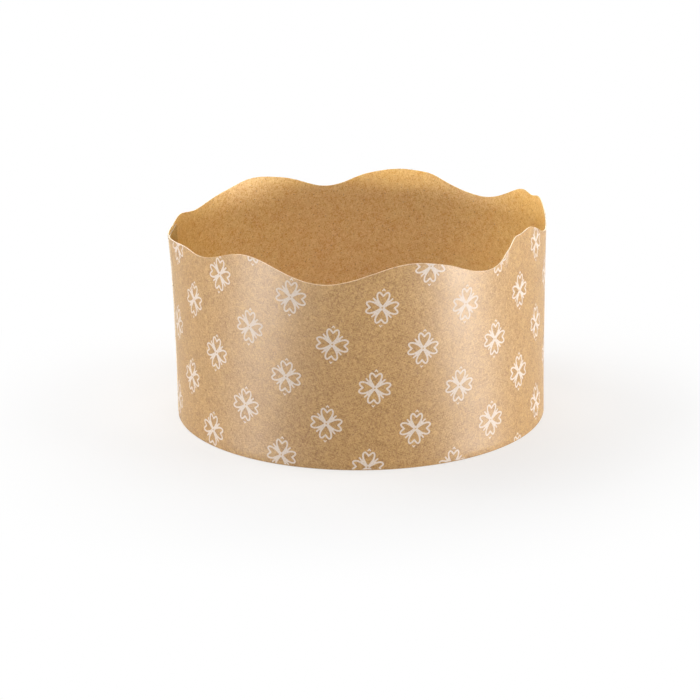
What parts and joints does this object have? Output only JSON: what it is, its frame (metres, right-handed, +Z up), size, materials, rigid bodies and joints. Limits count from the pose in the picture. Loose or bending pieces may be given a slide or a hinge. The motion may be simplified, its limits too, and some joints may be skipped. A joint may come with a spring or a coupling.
{
  "type": "paper baking mold",
  "caption": "Round kraft paper baking mould with a scalloped rim, a printed side wall, a turned-in hem and a flat base.",
  "frame": {"origin": "middle of the footprint, on the surface the mould stands on", "axes": "+Z up through the mouth, the front of the picture faces -Y, +X to the right"},
  "size_m": [0.1372, 0.1362, 0.0735],
  "materials": {
    "wall_paper": "kraft paper with white print",
    "base_paper": "plain kraft paper"
  },
  "bodies": {
    "root": {"side_wall": "wall_paper", "base_disc": "base_paper"}
  },
  "joints": []
}
